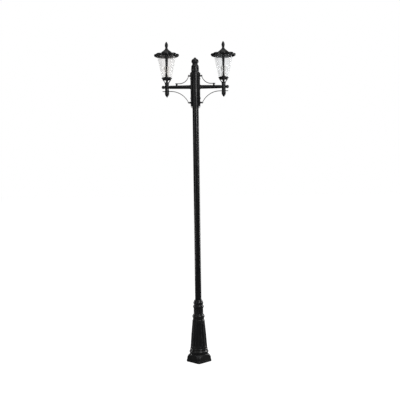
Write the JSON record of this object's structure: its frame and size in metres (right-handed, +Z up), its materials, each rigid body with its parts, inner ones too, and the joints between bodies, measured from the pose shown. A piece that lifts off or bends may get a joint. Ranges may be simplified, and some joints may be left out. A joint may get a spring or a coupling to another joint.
{
  "type": "street lamp post",
  "caption": "Street lamp post: tube pole in a fluted base on a square plinth, with upright lanterns on bracketed arms.",
  "frame": {"origin": "centre of the plinth on the ground", "axes": "+Z up the post, X along the arms, +Y to the back"},
  "size_m": [0.824, 0.252, 3.223],
  "materials": {
    "black_casting": "satin black powder coat on cast aluminium",
    "black_tube": "satin black powder coat on steel tube",
    "black_bar": "satin black powder coat on flat steel bar",
    "dark_screws": "blackened steel screws",
    "steel_screws": "zinc plated screws",
    "galvanised_steel": "hot-dip galvanised",
    "reeded_glass": "reeded, lightly frosted",
    "opal_bulb": "opal white",
    "lamp_cap_metal": "nickel-plated screw cap",
    "white_ceramic": "glazed porcelain",
    "gasket_rubber": "matte EPDM",
    "terminal_plastic": "moulded",
    "lead_sheath": "smooth sheath"
  },
  "bodies": {
    "post": {"base_plate": "galvanised_steel", "base_casting": "black_casting", "base_collar": "black_casting", "collar_grub_screws": "dark_screws", "pole_tube": "black_tube", "head_sleeve": "black_casting", "sleeve_grub_screws": "dark_screws", "post_cap": "black_casting", "cap_grub_screws": "dark_screws", "terminal_block": "terminal_plastic", "terminal_bracket": "galvanised_steel", "terminal_screws": "steel_screws", "backplate_bolts": "dark_screws", "scroll_screws": "dark_screws", "cage_screws": "dark_screws", "left_backplate": "black_bar", "left_arm_tube": "black_casting", "left_arm_boss": "black_casting", "left_arm_tip": "black_casting", "left_drop_finial": "black_casting", "left_upper_scroll": "black_bar", "left_lower_scroll": "black_bar", "left_spools": "black_casting", "left_lantern_spider": "black_casting", "left_nipple": "galvanised_steel", "left_tray": "black_casting", "left_cage": "black_casting", "left_lower_gasket": "gasket_rubber", "left_lens": "reeded_glass", "left_lamp_holder": "white_ceramic", "left_lead": "lead_sheath", "right_backplate": "black_bar", "right_arm_tube": "black_casting", "right_arm_boss": "black_casting", "right_arm_tip": "black_casting", "right_drop_finial": "black_casting", "right_upper_scroll": "black_bar", "right_lower_scroll": "black_bar", "right_spools": "black_casting", "right_lantern_spider": "black_casting", "right_nipple": "galvanised_steel", "right_tray": "black_casting", "right_cage": "black_casting", "right_lower_gasket": "gasket_rubber", "right_lens": "reeded_glass", "right_lamp_holder": "white_ceramic", "right_lead": "lead_sheath"},
    "left_roof": {"left_roof": "black_casting", "left_roof_screws": "dark_screws", "left_upper_gasket": "gasket_rubber"},
    "left_finial": {"left_finial": "black_casting"},
    "left_lamp": {"left_lamp_cap": "lamp_cap_metal", "left_lamp_bulb": "opal_bulb"},
    "right_roof": {"right_roof": "black_casting", "right_roof_screws": "dark_screws", "right_upper_gasket": "gasket_rubber"},
    "right_finial": {"right_finial": "black_casting"},
    "right_lamp": {"right_lamp_cap": "lamp_cap_metal", "right_lamp_bulb": "opal_bulb"}
  },
  "joints": [
    {"name": "left_roof_lift", "type": "slide", "parent": "post", "child": "left_roof", "axis": [0, 0, 1], "range_m": [0, 0.15]},
    {"name": "left_finial_turn", "type": "hinge", "parent": "left_roof", "child": "left_finial", "pos_m": [-0.286, 0, 3.146], "axis": [0, 0, 1], "continuous": true},
    {"name": "left_lamp_turn", "type": "hinge", "parent": "post", "child": "left_lamp", "pos_m": [-0.286, 0, 2.9], "axis": [0, 0, 1], "continuous": true},
    {"name": "right_roof_lift", "type": "slide", "parent": "post", "child": "right_roof", "axis": [0, 0, 1], "range_m": [0, 0.15]},
    {"name": "right_finial_turn", "type": "hinge", "parent": "right_roof", "child": "right_finial", "pos_m": [0.286, 0, 3.146], "axis": [0, 0, 1], "continuous": true},
    {"name": "right_lamp_turn", "type": "hinge", "parent": "post", "child": "right_lamp", "pos_m": [0.286, 0, 2.9], "axis": [0, 0, 1], "continuous": true}
  ]
}
